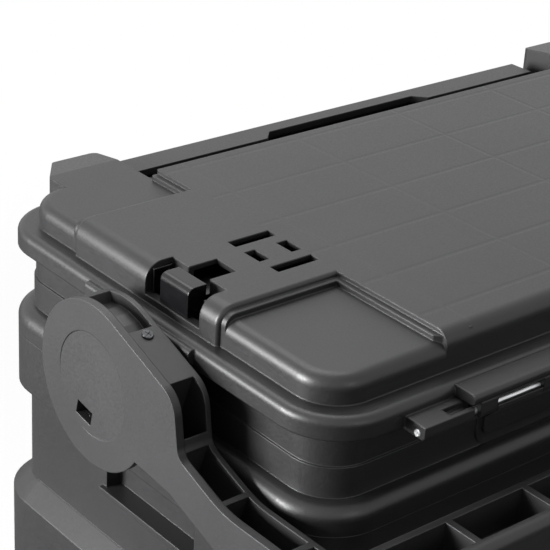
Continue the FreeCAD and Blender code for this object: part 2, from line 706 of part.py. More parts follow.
def hollow_lid(lid):
    wall = s.lid_wall
    lid.cut("XY", seam, [ring_outline(wall)], shelf - wall - seam)
    x = half_long - s.shelf_end - wall
    front = block_front + wall
    back = trough_front - wall
    corner = s.ear_inner + wall
    low_roof = panel - wall - seam
    r = s.block_radius - wall
    lid.cut("XY", seam, [rounded(-x, x, front, back, r)], low_roof)
    rear = [rounded(*spans(side, corner, x - wall), back - r * 2, -front - wall, r - wall) for side in (-1, 1)]
    lid.cut("XY", seam, rear, low_roof)
    half = s.plateau_half - wall
    high_roof = top - wall - seam
    lid.cut("XY", seam, [rectangle(-half, half, front, back)], high_roof)
    reach = notch_back - wall
    strip = rectangle(-reach, reach, tower_front + wall, tower_back - wall)
    lid.cut("XY", seam, [strip], high_roof)
    flanks = []
    notch_side = s.notch_width / 2 + wall
    for side in (-1, 1):
        start, end = spans(side, reach - OVERLAP, half_long - s.tower_lean - s.tower_rounding * 0.7)
        flanks.append(rectangle(start, end, tower_front + wall, s.notch_centre - notch_side))
        flanks.append(rectangle(start, end, s.notch_centre + notch_side, tower_back - wall))
    lid.cut("XY", seam, flanks, high_roof)
    # ribs under the top, and bosses for the liner screws where they cross
    t = s.rib_thickness / 2
    ribs = []
    for i in range(-2, 3):
        rib_x = s.rib_pitch_long * i
        ribs.append(rectangle(rib_x - t, rib_x + t, front - OVERLAP, back + OVERLAP))
    lid.add("XY", top - wall - s.rib_depth, ribs, s.rib_depth + OVERLAP)
    rows = []
    for j in (-1.5, -0.5, 0.5, 1.5):
        rib_y = s.rib_centre + s.rib_pitch_cross * j
        rows.append(rectangle(-half - OVERLAP, half + OVERLAP, rib_y - t, rib_y + t))
    lid.add("XY", top - wall - s.rib_depth, rows, s.rib_depth + OVERLAP)
    bosses = [circle(bx, by, s.screw_boss) for bx, by in screw_places()]
    liner_top = seam + s.liner_gap + s.liner_thickness
    lid.add("XY", liner_top, bosses, top - wall - liner_top + OVERLAP)
    holes = [circle(bx, by, s.screw_radius) for bx, by in screw_places()]
    lid.cut("XY", liner_top, holes, s.screw_length)


def screw_places():
    """Liner screws, on crossings of the ribs."""
    places = []
    for i in (-2, 0, 2):
        for j in (-1.5, 1.5):
            places.append((s.rib_pitch_long * i, s.rib_centre + s.rib_pitch_cross * j))
    return places


def open_lid(lid):
    """The catch notch and the slots in both ends of the lid."""
    y = s.notch_centre
    for side in (-1, 1):
        start, end = spans(side, notch_back, half_long + s.rail_reach + OVERLAP)
        wide = rectangle(start, end, y - s.notch_width / 2, y + s.notch_width / 2)
        lid.cut("XY", notch_floor, [wide], s.notch_drop + OVERLAP)
        start, end = spans(side, head_back, notch_back + OVERLAP)
        head = rectangle(start, end, y - s.head_width / 2, y + s.head_width / 2)
        lid.cut("XY", notch_floor, [head], s.notch_drop + OVERLAP)
        slots = []
        for turn in (-1, 1):
            slot_y = y + s.slot_spread / 2 * turn
            start, end = spans(side, s.slot_centre - s.slot_length / 2, s.slot_centre + s.slot_length / 2)
            slots.append(rectangle(start, end, slot_y - s.slot_width / 2, slot_y + s.slot_width / 2))
            middle = s.slot_centre + s.slot_gap / 2 * turn
            start, end = spans(side, middle - s.slot_width / 2, middle + s.slot_width / 2)
            slots.append(rectangle(start, end, y - s.slot_short / 2, y + s.slot_short / 2))
        lid.cut("XY", top - s.lid_wall - OVERLAP, slots, s.lid_wall + OVERLAP * 2)


def hinge_lid(lid):
    """Hinge cover, knuckles and end blocks along the hinge side."""
    cover_front = -(half_wide + s.cover_reach)
    inner = -half_wide + s.lid_wall / 2
    half = s.cover_half
    under = shelf - s.cover_thickness
    lid.add("XY", under, [rectangle(-half, half, cover_front, inner)], s.cover_thickness)
    lid.fillet(s.cover_rounding, any_of(edge_along("X", cover_front, shelf), edge_along("X", cover_front, under)))
    r = s.knuckle_radius
    span = s.knuckle_pitch * 4 + (s.knuckle_pitch - s.knuckle_width) / 2
    web = rectangle(pin_y - r, pin_y + r, pin_z, under + 0.2)
    lid.add("YZ", -span, [web], span * 2)
    lid.add("YZ", -span, [circle(pin_y, pin_z, r)], span * 2)
    windows = knuckle_windows(8, s.knuckle_width + s.knuckle_gap * 2, pin_z - r * 2, under)
    lid.cut("XZ", pin_y - r * 2, windows, r * 3.2)
    block_front_y = -(half_wide + s.end_block_reach)
    block_top = top - s.end_block_top
    for side in (-1, 1):
        start, end = spans(side, half, half + s.end_block_length)
        low = block_top - s.end_block_height
        lid.add("XY", low, [rectangle(start, end, block_front_y, inner)], s.end_block_height)
        lid.fillet(s.end_block_rounding, edge_along("X", block_front_y, low))
        start, end = spans(side, half, half + 14)
        window = rectangle(start, end, pin_y - 2.7, pin_y + 3.3)
        lid.cut("XY", pin_z + s.pin_radius + 0.2, [window], block_top - pin_z)
    reach = half + s.end_block_length + OVERLAP
    bore = s.pin_radius + s.pin_clearance
    lid.cut("YZ", -reach, [circle(pin_y, pin_z, bore)], reach * 2)


# Lid liner: the flat panel inside the lid, with a groove for the seal
def build_lid_liner():
    liner = Piece("lid_liner")
    low = seam + s.liner_gap
    liner.add("XY", low, [ring_outline(s.lid_wall + s.liner_gap)], s.liner_thickness)
    inset = s.rim_inset - 0.5
    groove = s.seal_height - s.seam_gap
    liner.cut("XY", low, [ring_outline(inset), ring_outline(inset + s.seal_width)], groove)
    holes = [circle(x, y, s.screw_radius) for x, y in screw_places()]
    liner.cut("XY", low, holes, s.liner_thickness)
    return liner


def build_lid_seal():
    seal = Piece("lid_seal")
    inset = s.rim_inset - 0.5
    high = seam + s.liner_gap + s.seal_height - s.seam_gap
    outlines = [ring_outline(inset), ring_outline(inset + s.seal_width)]
    seal.add("XY", rim_top + s.liner_gap, outlines, high - rim_top - s.liner_gap)
    return seal


def build_liner_screws():
    screws = Piece("liner_screws")
    low = seam + s.liner_gap
    places = screw_places()
    heads = [circle(x, y, s.screw_head) for x, y in places]
    screws.add("XY", low - s.screw_head_height, heads, s.screw_head_height)
    shanks = [circle(x, y, s.screw_radius) for x, y in places]
    screws.add("XY", low - s.screw_head_height / 2, shanks, s.screw_length + s.screw_head_height / 2)
    return screws


# Push catch in the left end of the lid, and the guide that lines its notch
def build_catch_guide():
    guide = Piece("catch_guide_left")
    y = s.notch_centre
    w = s.guide_wall
    half = s.notch_width / 2
    floor_face = half_long - s.catch_face - s.catch_skirt - s.catch_travel - s.catch_stop
    guide.add("XY", notch_floor, [rectangle(-floor_face, -notch_back, y - half, y + half)], w)
    for turn in (-1, 1):
        wall_low, wall_high = spans(turn, half - w, half)
        wall = rectangle(s.guide_face - half_long, -notch_back, y + wall_low, y + wall_high)
        guide.add("XY", notch_floor, [wall], s.notch_drop - 3)
    track = s.head_width / 2
    guide.add("XY", notch_floor, [rectangle(-notch_back - OVERLAP, -head_back, y - track, y + track)], w)
    return guide


def build_end_catch():
    catch = Piece("end_catch_left")
    y = s.notch_centre
    half = s.catch_width / 2
    face = half_long - s.catch_face
    inner = face - s.catch_length
    low = notch_floor + s.guide_wall + s.liner_gap
    high = top - s.catch_top_drop
    catch.add("XY", low, [rectangle(-face, -inner, y - half, y + half)], high - low)
    catch.fillet(s.catch_rounding, edge_along("Y", -face, high))
    skirt_low = notch_floor + s.liner_gap
    skirt = rectangle(-face, -face + s.catch_skirt, y - half, y + half)
    catch.add("XY", skirt_low, [skirt], low - skirt_low + OVERLAP)
    narrow = s.head_width / 2 - s.liner_gap
    tongue = rectangle(-inner - OVERLAP, -inner + s.catch_tongue, y - narrow, y + narrow)
    catch.add("XY", low, [tongue], s.catch_tongue_height)
    return catch


# Latch: a wide flap that turns on pins in the frame and is pulled outwards by its bar
def build_latch():
    latch = Piece("latch_flap")
    near_y = half_wide + s.latch_near
    far_y = half_wide + s.latch_reach
    high = top - s.latch_top_drop
    half = s.latch_half
    r = s.latch_barrel
    skin = polygon(
        (near_y, high),
        (near_y, high - s.latch_bar_thickness),
        (far_y - s.latch_wall, high - s.latch_bar_thickness),
        (far_y - s.latch_wall, latch_z + r),
        (latch_y, latch_z + r),
        (latch_y, latch_z - r),
        (far_y - s.latch_wall, latch_z - r),
        (far_y, latch_z),
        (far_y, high),
    )
    latch.add("YZ", -half, [skin], half * 2)
    latch.fillet(2, any_of(edge_along("X", far_y, high), edge_along("X", far_y, latch_z)))
    latch.add("YZ", -half, [circle(latch_y, latch_z, r)], half * 2)
    # the bar is shorter than the flap, with raked ends
    rake = half - s.latch_bar_half
    for side in (-1, 1):
        start = half * side
        end = s.latch_bar_half * side
        corner = polygon((start + side, high - rake), (start + side, high + 1), (end, high + 1), (end, high))
        latch.cut("XZ", near_y - 1, [corner], far_y - near_y + 2)
    # finger notch in the bar's near edge
    f = s.finger_half
    deep = near_y + s.finger_depth
    notch = polygon((-f - s.finger_slope, near_y - 1), (f + s.finger_slope, near_y - 1), (f, deep), (-f, deep))
    latch.cut("XY", high - s.latch_bar_thickness - 1, [notch], s.latch_bar_thickness + 2)
    latch.cut("YZ", -half - 1, [circle(latch_y, latch_z, s.latch_pin + s.pin_clearance)], half * 2 + 2)
    return latch


def build_latch_pin():
    pin = Piece("latch_pin_left")
    start = -(s.ear_tip - s.tub_wall)
    end = -(s.latch_half - 18)
    pin.add("YZ", start, [circle(latch_y, latch_z, s.latch_pin)], end - start)
    return pin


# Handle: two channel arms with round hubs, an outer plate on each, and a cored grip between them
def from_axis(out, up):
    """Y and Z of a point given outwards, towards the hinge side, and up from the handle axis."""
    return (s.pivot_y - out, pivot_z + up)


def along_arm(reach, rise):
    """Y and Z of a point given along the arm and square to it, from the handle axis."""
    c = cosine(s.arm_slope)
    n = sine(s.arm_slope)
    return from_axis(reach * c + rise * n, rise * c - reach * n)


def arm_outline(margin):
    """Hub neck, narrow arm and level end, as one polygon."""
    far = s.grip_near + s.grip_wide
    top_line = s.grip_top + margin
    return polygon(
        along_arm(0, s.hub_radius + margin),
        along_arm(s.neck_reach + margin, s.hub_radius + margin),
        along_arm(s.arm_start + margin, s.arm_high + margin),
        along_arm(s.arm_knee, s.arm_high + margin),
        from_axis(far + margin, top_line),
        from_axis(far + margin, s.grip_top - s.grip_tall - margin),
        from_axis(s.grip_near - 40, s.grip_top - s.grip_tall - margin),
        along_arm(s.arm_start + s.arm_skin, -s.arm_low - margin),
        along_arm(s.hub_radius, -s.arm_root - margin),
        along_arm(0, -s.arm_root),
    )


def soften_arm(arm, margin):
    """Round the outline's corners, which are edges along X."""
    far = s.grip_near + s.grip_wide + margin
    corners = [
        (along_arm(s.neck_reach + margin, s.hub_radius + margin), 16),
        (along_arm(s.arm_start + margin, s.arm_high + margin), 8),
        (along_arm(s.arm_knee, s.arm_high + margin), 60),
        (from_axis(far, s.grip_top + margin), s.grip_rounding + margin),
        (from_axis(far, s.grip_top - s.grip_tall - margin), s.grip_rounding + margin),
        (from_axis(s.grip_near - 40, s.grip_top - s.grip_tall - margin), 60),
    ]
    for (y, z), radius in corners:
        arm.fillet(radius, edge_along("X", y, z))


def key_outline():
    """The rectangular key hole, tipped a little, under the handle axis."""
    c = cosine(s.key_slope)
    n = sine(s.key_slope)
    x = s.key_length / 2
    y = s.key_width / 2
    corners = [(-x, -y), (x, -y), (x, y), (-x, y)]
    return polygon(*[from_axis(i * c + j * n - s.key_offset, j * c - i * n - s.key_drop) for i, j in corners])


def build_handle_arm():
    arm = Piece("handle_arm_left")
    start = -arm_outer
    arm.add("YZ", start, [arm_outline(0)], s.arm_depth)
    soften_arm(arm, 0)
    arm.add("YZ", start, [circle(s.pivot_y, pivot_z, s.hub_radius)], s.arm_depth)
    # cells of the channel, open on the upper edge and closed by the outer plate
    depth = s.arm_depth - s.arm_plate
    skin = s.arm_skin
    over = s.hub_radius + 10
    low = skin - s.arm_low
    neck_rise = s.arm_high * 2
    hub_side = s.hub_radius + OVERLAP
    rib = s.arm_start - skin - 1
    cell_end = s.arm_knee - 7
    cells = [
        polygon(
            along_arm(hub_side, over),
            along_arm(rib, over),
            along_arm(rib, low - 2),
            along_arm(hub_side, skin - s.arm_root),
        ),
        polygon(
            along_arm(s.arm_start, low),
            along_arm(s.arm_start, neck_rise),
            along_arm(cell_end, neck_rise),
            along_arm(cell_end, low),
        ),
        polygon(
            along_arm(cell_end + skin, low),
            along_arm(cell_end + skin, neck_rise),
            from_axis(s.grip_near - 18, s.grip_top + 10),
            from_axis(s.grip_near - 18, s.grip_top - s.grip_tall + skin),
            from_axis(s.grip_near - 40, s.grip_top - s.grip_tall + skin + 2),
        ),
        rectangle(
            s.pivot_y - s.grip_near - s.grip_wide + 5,
            s.pivot_y - s.grip_near + 14,
            pivot_z + s.grip_top - s.grip_tall + skin,
            pivot_z + s.grip_top + 10,
        ),
    ]
    for cell in cells:
        arm.cut("YZ", start, [cell], depth)
    # groove along the hub's upper edge, between the plates
    turns = (78, 90, 102, 114, 126)
    floor = [along_arm(s.groove_radius * cosine(a), s.groove_radius * sine(a)) for a in turns]
    rim = [along_arm(over * cosine(a), over * sine(a)) for a in reversed(turns)]
    arm.cut("YZ", start, [polygon(*floor, *rim)], depth)
    # a gap opens round the hub block so that its edge stands behind the outer plate
    arm.cut("YZ", start - OVERLAP, [circle(s.pivot_y, pivot_z, s.bolt_head + 1)], s.bolt_head_height + 1 + OVERLAP)
    arm.cut("YZ", start - OVERLAP, [key_outline()], s.key_depth + OVERLAP)
    bore = s.bolt_radius + s.bolt_clearance
    arm.cut("YZ", start - OVERLAP, [circle(s.pivot_y, pivot_z, bore)], s.arm_depth + OVERLAP * 2)
    return arm


def build_handle_cover():
    cover = Piece("handle_cover_left")
    margin = s.cover_margin
    start = -arm_outer - s.cover_plate
    cover.add("YZ", start, [arm_outline(margin)], s.cover_plate)
    soften_arm(cover, margin)
    radius = s.hub_radius + margin
    cover.add("YZ", start, [circle(s.pivot_y, pivot_z, radius)], s.cover_plate)
    dish = [circle(0, 0, s.dish_radius)]
    cover.cut_tipped("YZ", start - s.arm_skin, s.pivot_y, pivot_z, dish, s.dish_depth + s.arm_skin, s.dish_tilt)
    cover.cut("YZ", start - OVERLAP, [key_outline()], s.cover_plate + OVERLAP * 2)
    return cover


def build_grip():
    grip = Piece("handle_grip")
    y_near = s.pivot_y - s.grip_near
    y_far = y_near - s.grip_wide
    high = pivot_z + s.grip_top
    low = high - s.grip_tall
    grip.add("YZ", -arm_inner, [rectangle(y_far, y_near, low, high)], arm_inner * 2)
    corners = [edge_along("X", y, z) for y in (y_near, y_far) for z in (low, high)]
    grip.fillet(s.grip_rounding, any_of(*corners))
    cells = []
    for i in range(-5, 5):
        x = s.cell_pitch * (i + 0.5)
        half = s.cell_length / 2
        cells.append(rectangle(x - half, x + half, y_far + s.grip_wall, y_near - s.grip_wall))
    grip.cut("XY", high - s.cell_depth, cells, s.cell_depth + OVERLAP)
    return grip


def build_handle_bolt():
    bolt = Piece("handle_bolt_left")
    head = -arm_outer + 0.5
    bolt.add("YZ", head, [circle(s.pivot_y, pivot_z, s.bolt_head)], s.bolt_head_height)
    end = -(end_face - s.tub_wall - s.nut_height)
    bolt.add("YZ", head, [circle(s.pivot_y, pivot_z, s.bolt_radius)], end - head)
    return bolt


def build_handle_washer():
    washer = Piece("handle_washer_left")
    outlines = [circle(s.pivot_y, pivot_z, s.washer_radius), circle(s.pivot_y, pivot_z, s.bolt_radius)]
    washer.add("YZ", -(arm_inner - s.handle_gap), outlines, s.washer_height)
    return washer


def build_handle_nut():
    nut = Piece("handle_nut_left")
    corners = []
    for i in range(6):
        angle = math.radians(60 * i)
        y = s.pivot_y + s.nut_radius * math.cos(angle)
        corners.append((y, pivot_z + s.nut_radius * math.sin(angle)))
    start = -(end_face - s.tub_wall)
    outlines = [polygon(*corners), circle(s.pivot_y, pivot_z, s.bolt_radius)]
    nut.add("YZ", start, outlines, s.nut_height)
    return nut


# Trays that hang from the ledge inside the frame, and the bar between them
def build_tray():
    tray = Piece("tray_left")
    inset = s.rim_inset + s.tub_wall + s.ledge_width + s.tray_gap
    lip_inset = s.rim_inset + s.tub_wall + s.tray_gap
    mid = s.tray_gap / 2
    floor = tray_ledge - s.tray_depth
    x = half_long - inset
    y = half_wide - inset
    inner = s.rail_bar_half + s.tray_gap
    r = s.corner_radius - inset
    tray.add("XY", floor, [rounded(-x, -inner, -y, y, r)], s.tray_depth)
    lip_x = half_long - lip_inset
    lip_y = half_wide - lip_inset
    lip_r = s.corner_radius - lip_inset
    tray.add("XY", tray_ledge, [rounded(-lip_x, -mid, -lip_y, lip_y, lip_r)], s.tray_lip)
    w = s.tray_wall
    inside = rounded(-x + w, -inner - w, -y + w, y - w, r - w)
    tray.cut("XY", floor + w, [inside], s.tray_depth + s.tray_lip)
    return tray


def build_tray_dividers():
    dividers = Piece("tray_dividers_left")
    inset = s.rim_inset + s.tub_wall + s.ledge_width + s.tray_gap + s.tray_wall
    x_out = half_long - inset
    x_in = s.rail_bar_half + s.tray_gap + s.tray_wall
    y = half_wide - inset
    t = s.divider_thickness / 2
    walls = []
    for i in (1, 2):
        x = -(x_in + (x_out - x_in) * i / 3)
        walls.append(rectangle(x - t, x + t, -y, y))
    dividers.add("XY", tray_ledge - s.tray_depth + s.tray_wall, walls, s.divider_height)
    return dividers


def build_tray_bar():
    bar = Piece("tray_bar")
    inset = s.rim_inset + s.tub_wall + s.ledge_width
    y = half_wide - inset
    half = s.rail_bar_half
    bar.add("XY", tray_ledge - s.rail_bar_height, [rectangle(-half, half, -y, y)], s.rail_bar_height)
    return bar


build_lower_tub()
build_feet()
build_upper_frame()
build_hinge_rod()
lid_shell = build_lid_shell()
hinge_lid(lid_shell)
open_lid(lid_shell)
hollow_lid(lid_shell)
build_lid_liner()
build_lid_seal()
build_liner_screws()
build_latch()
build_grip()
build_tray_bar()
PAIRS = [
    (build_catch_guide, "catch_guide_right"),
    (build_end_catch, "end_catch_right"),
    (build_latch_pin, "latch_pin_right"),
    (build_handle_arm, "handle_arm_right"),
    (build_handle_cover, "handle_cover_right"),
    (build_handle_bolt, "handle_bolt_right"),
    (build_handle_washer, "handle_washer_right"),
    (build_handle_nut, "handle_nut_right"),
    (build_tray, "tray_right"),
    (build_tray_dividers, "tray_dividers_right"),
]
for build, right_name in PAIRS:
    mirrored(build(), right_name)

doc.recompute()
for thing in doc.Objects:
    if "Invalid" in thing.State or "Error" in thing.State:
        raise ValueError(f"{thing.Label} did not compute: {thing.State}")
for thing in PIECES:
    if thing.Shape.isNull() or not thing.Shape.isValid():
        raise ValueError(f"{thing.Label} has no sound shape")
for thing in PIECES:
    thing.Shape.exportStep(f"parts/{thing.Label}.step")
    print(thing.Label, len(thing.Shape.Solids), "solids", round(thing.Shape.Volume / 1000, 1), "cm3")
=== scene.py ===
# %% [markdown]
# This lesson dresses a moulded fishing seat box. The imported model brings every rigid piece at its
# real size, in metres, and this file gives the pieces their finishes, adds the small shapes that
# only the eye needs, and sets the light and the camera. We start by loading that model.

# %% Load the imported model
import bpy
import bmesh
import json
import math
from mathutils import Matrix, Vector


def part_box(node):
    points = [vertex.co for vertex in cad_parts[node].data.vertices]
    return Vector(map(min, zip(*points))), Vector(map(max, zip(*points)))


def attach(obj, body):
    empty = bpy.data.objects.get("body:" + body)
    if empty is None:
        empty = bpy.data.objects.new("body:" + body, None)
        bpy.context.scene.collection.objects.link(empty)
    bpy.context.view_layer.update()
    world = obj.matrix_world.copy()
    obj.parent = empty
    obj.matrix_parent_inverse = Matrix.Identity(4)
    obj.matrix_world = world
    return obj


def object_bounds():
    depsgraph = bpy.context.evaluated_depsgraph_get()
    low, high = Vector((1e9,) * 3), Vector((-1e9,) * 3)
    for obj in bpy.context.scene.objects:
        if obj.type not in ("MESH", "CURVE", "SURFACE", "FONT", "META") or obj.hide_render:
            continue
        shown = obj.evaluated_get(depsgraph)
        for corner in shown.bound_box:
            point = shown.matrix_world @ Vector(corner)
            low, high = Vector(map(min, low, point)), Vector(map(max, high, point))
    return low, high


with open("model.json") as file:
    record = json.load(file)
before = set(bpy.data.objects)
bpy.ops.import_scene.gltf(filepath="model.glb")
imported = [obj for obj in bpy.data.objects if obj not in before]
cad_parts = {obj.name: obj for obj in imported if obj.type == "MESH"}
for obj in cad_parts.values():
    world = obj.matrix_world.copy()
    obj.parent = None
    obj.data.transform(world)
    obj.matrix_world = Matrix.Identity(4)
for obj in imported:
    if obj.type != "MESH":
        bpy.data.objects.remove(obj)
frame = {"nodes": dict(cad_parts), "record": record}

nodes = frame["nodes"]
cad_low, cad_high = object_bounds()
print("nodes:", len(nodes), "box in mm:", [round((b - a) * 1000, 1) for a, b in zip(cad_low, cad_high)])

# %% [markdown]
# A colour is picked in sRGB, as a hex value, but shaders work in linear light. One function turns
# the first into the second, so every finish can be written as a plain hex value. A second small
# function adds a node with its settings and its links, because each finish is a chain of nodes.

# %% Colour and node helpers
def linear(hex_value):
    """The linear RGBA colour of an sRGB hex value."""
    channels = [int(hex_value[i:i + 2], 16) / 255 for i in (1, 3, 5)]
    return [c / 12.92 if c <= 0.04045 else ((c + 0.055) / 1.055) ** 2.4 for c in channels] + [1.0]


def add(tree, kind, settings=None, **inputs):
    """Adds one node. A setting is a property; an input is a value, or another node's output."""
    node = tree.nodes.new(kind)
    for name, value in (settings or {}).items():
        setattr(node, name, value)
    for name, value in inputs.items():
        key = int(name[1:]) if name[1:].isdigit() else name.replace("_", " ")
        socket = node.inputs[key]
        if isinstance(value, bpy.types.NodeSocket):
            tree.links.new(value, socket)
        else:
            socket.default_value = value
    return node


def new_finish(name):
    """A material with its shader and object coordinates ready, as (material, tree, shader, place)."""
    material = bpy.data.materials.new(name)
    material.use_nodes = True
    tree = material.node_tree
    tree.nodes.clear()
    shader = add(tree, "ShaderNodeBsdfPrincipled")
    add(tree, "ShaderNodeOutputMaterial", Surface=shader.outputs[0])
    place = add(tree, "ShaderNodeTexCoord").outputs["Object"]
    return material, tree, shader, place


def soft_edges(tree, radius):
    """Normals as if every sharp edge were rounded by this many millimetres, as on a moulding."""
    return add(tree, "ShaderNodeBevel", {"samples": 6}, Radius=radius / 1000).outputs[0]


def per_metre(millimetres):
    """The scale of a noise whose features are about this many millimetres across."""
    return 1000 / millimetres


def colour_ramp(tree, factor, stops):
    """A ramp from (position, hex value) stops."""
    ramp = add(tree, "ShaderNodeValToRGB", Fac=factor)
    elements = ramp.color_ramp.elements
    while len(elements) < len(stops):
        elements.new(0.5)
    for element, (position, value) in zip(elements, stops):
        element.position = position
        element.color = linear(value)
    return ramp.outputs["Color"]


print("mid grey in linear light:", round(linear("#808080")[0], 3))

# %% [markdown]
# The shells are injection-moulded polypropylene, dark grey, with the fine spark-eroded grain that
# a moulder uses to hide scuffs. Seen from a step away it is a satin surface that spreads its
# highlights. The real grain is about 0.3 mm, too fine for this picture, so it is drawn at 1.1 mm.
# A slow second noise gives the faint cloudiness of a big moulding. Where the lid's ribs meet its
# top the plastic shrinks a little as it cools, so a faint sink mark shows over each rib. RIBS holds
# their spacing and the place of one of them along each axis, and MARK_EDGE where a mark starts and
# ends beside its middle. The marks stay within TOP_HALF of the middle. All are in metres.

# %% Grained polypropylene
GRAIN = 1.1
CLOUD = 70
GRAIN_TONE = 0.35
MOULDED_IOR = 1.49
RIBS = {"X": (0.0814, 0.0), "Y": (0.0414, 0.0168)}
MARK_EDGE = (0.0004, 0.0022)
MARK_DEPTH = 0.0003
TOP_HALF = 0.178
TOP_BELOW = 0.0006


def grained_plastic(name, dark, light, roughness, grain_depth, edge=0.9, ribs=False):
    """Satin moulded plastic; ribs adds the sink marks that show over the ribs of the lid."""
    material, tree, shader, place = new_finish(name)
    cloud = add(tree, "ShaderNodeTexNoise", Vector=place, Scale=per_metre(CLOUD), Detail=3.0, Roughness=0.6)
    grain = add(tree, "ShaderNodeTexNoise", Vector=place, Scale=per_metre(GRAIN), Detail=2.0, Roughness=0.65)
    tone = add(tree, "ShaderNodeMath", {"operation": "MULTIPLY_ADD"},
               _0=grain.outputs[0], _1=GRAIN_TONE, _2=cloud.outputs[0])
    paint = colour_ramp(tree, tone.outputs[0], [(0.35, dark), (0.95, light)])
    tree.links.new(paint, shader.inputs["Base Color"])
    gloss = add(tree, "ShaderNodeMapRange", Value=grain.outputs[0], _1=0.3, _2=0.7,
                _3=roughness - 0.06, _4=roughness + 0.08)
    tree.links.new(gloss.outputs[0], shader.inputs["Roughness"])
    normal = soft_edges(tree, edge)
    if ribs:
        normal = sink_marks(tree, place, normal)
    bump = add(tree, "ShaderNodeBump", Strength=0.5, Distance=grain_depth / 1000,
               Height=grain.outputs[0], Normal=normal)
    tree.links.new(bump.outputs[0], shader.inputs["Normal"])
    shader.inputs["IOR"].default_value = MOULDED_IOR
    return material


def sink_marks(tree, place, normal):
    """A shallow groove over each rib of the lid, on the full-height top only."""
    split = add(tree, "ShaderNodeSeparateXYZ", Vector=place)
    heights = []
    for axis, (pitch, centre) in RIBS.items():
        shifted = add(tree, "ShaderNodeMath", {"operation": "SUBTRACT"}, _0=split.outputs[axis], _1=centre)
        folded = add(tree, "ShaderNodeMath", {"operation": "PINGPONG"}, _0=shifted.outputs[0], _1=pitch / 2)
        mark = add(tree, "ShaderNodeMapRange", {"interpolation_type": "SMOOTHSTEP"}, Value=folded.outputs[0],
                   _1=MARK_EDGE[0], _2=MARK_EDGE[1], _3=0.0, _4=1.0)
        heights.append(mark.outputs[0])
    both = add(tree, "ShaderNodeMath", {"operation": "MINIMUM"}, _0=heights[0], _1=heights[1])
    level = cad_high[2] - TOP_BELOW
    below = add(tree, "ShaderNodeMath", {"operation": "LESS_THAN"}, _0=split.outputs["Z"], _1=level)
    reach = add(tree, "ShaderNodeMath", {"operation": "ABSOLUTE"}, _0=split.outputs["X"])
    beyond = add(tree, "ShaderNodeMath", {"operation": "GREATER_THAN"}, _0=reach.outputs[0], _1=TOP_HALF)
    outside = add(tree, "ShaderNodeMath", {"operation": "MAXIMUM"}, _0=below.outputs[0], _1=beyond.outputs[0])
    marks = add(tree, "ShaderNodeMath", {"operation": "MAXIMUM"}, _0=both.outputs[0], _1=outside.outputs[0])
    groove = add(tree, "ShaderNodeBump", Strength=0.38, Distance=MARK_DEPTH,
                 Height=marks.outputs[0], Normal=normal)
    return groove.outputs[0]


shell_finish = grained_plastic("grained_polypropylene", "#202021", "#29292a", 0.40, 0.05)
lid_finish = grained_plastic("grained_polypropylene_lid", "#202021", "#29292a", 0.40, 0.05,
                             edge=1.2, ribs=True)
handle_finish = grained_plastic("grained_polypropylene_handle", "#2c2c2d", "#353536", 0.40, 0.05, edge=0.8)
inner_finish = grained_plastic("smooth_polypropylene_trays", "#222223", "#2a2a2b", 0.40, 0.03, edge=0.5)
print("plastic finishes made")

# %% [markdown]
# The push catches and the guides round them are glossy black acetal: nearly black, with sharp
# highlights and very faint moulding waves.

# %% Glossy acetal
def glossy_plastic(name, colour, roughness):
    """Nearly black plastic that mirrors the lamps, with a slow moulding wave."""
    material, tree, shader, place = new_finish(name)
    wave = add(tree, "ShaderNodeTexNoise", Vector=place, Scale=per_metre(12), Detail=1.0)
    paint = colour_ramp(tree, wave.outputs[0], [(0.3, colour), (0.8, "#18181a")])
    tree.links.new(paint, shader.inputs["Base Color"])
    shader.inputs["Roughness"].default_value = roughness
    shader.inputs["IOR"].default_value = 1.48
    edges = soft_edges(tree, 0.7)
    bump = add(tree, "ShaderNodeBump", Strength=0.15, Distance=0.0002, Height=wave.outputs[0], Normal=edges)
    tree.links.new(bump.outputs[0], shader.inputs["Normal"])
    return material


catch_finish = glossy_plastic("glossy_acetal", "#0e0e0f", 0.20)

# %% [markdown]
# The hinge rod is bright drawn steel wire. Drawing leaves fine lines along the wire, so the noise
# is stretched along X. The screws, pins, bolts, washers and nuts are zinc-plated steel, a little
# duller and cooler, and the hub screws are blackened. Rubber is matt and very dark.

# %% Steel and rubber
def metal(name, colour_low, colour_high, roughness, stretch):
    """Bare or plated steel; stretch lays its fine lines along an axis."""
    material, tree, shader, place = new_finish(name)
    mapped = add(tree, "ShaderNodeMapping", Vector=place, Scale=stretch)
    lines = add(tree, "ShaderNodeTexNoise", Vector=mapped.outputs[0], Scale=per_metre(0.8), Detail=3.0)
    paint = colour_ramp(tree, lines.outputs[0], [(0.3, colour_low), (0.7, colour_high)])
    tree.links.new(paint, shader.inputs["Base Color"])
    shader.inputs["Metallic"].default_value = 1.0
    gloss = add(tree, "ShaderNodeMapRange", Value=lines.outputs[0], _3=roughness - 0.05, _4=roughness + 0.08)
    tree.links.new(gloss.outputs[0], shader.inputs["Roughness"])
    bump = add(tree, "ShaderNodeBump", Strength=0.2, Distance=0.00005, Height=lines.outputs[0])
    tree.links.new(bump.outputs[0], shader.inputs["Normal"])
    return material


wire_finish = metal("drawn_steel_wire", "#c4c6c8", "#eeeff0", 0.46, (0.05, 1.0, 1.0))
zinc_finish = metal("zinc_plated_steel", "#9fa3a6", "#c9ccce", 0.34, (1.0, 1.0, 1.0))
black_finish = metal("blackened_steel", "#3a3b3c", "#57585a", 0.30, (1.0, 1.0, 1.0))
rubber_finish = grained_plastic("black_rubber", "#19191a", "#232324", 0.78, 0.10, edge=0.4)

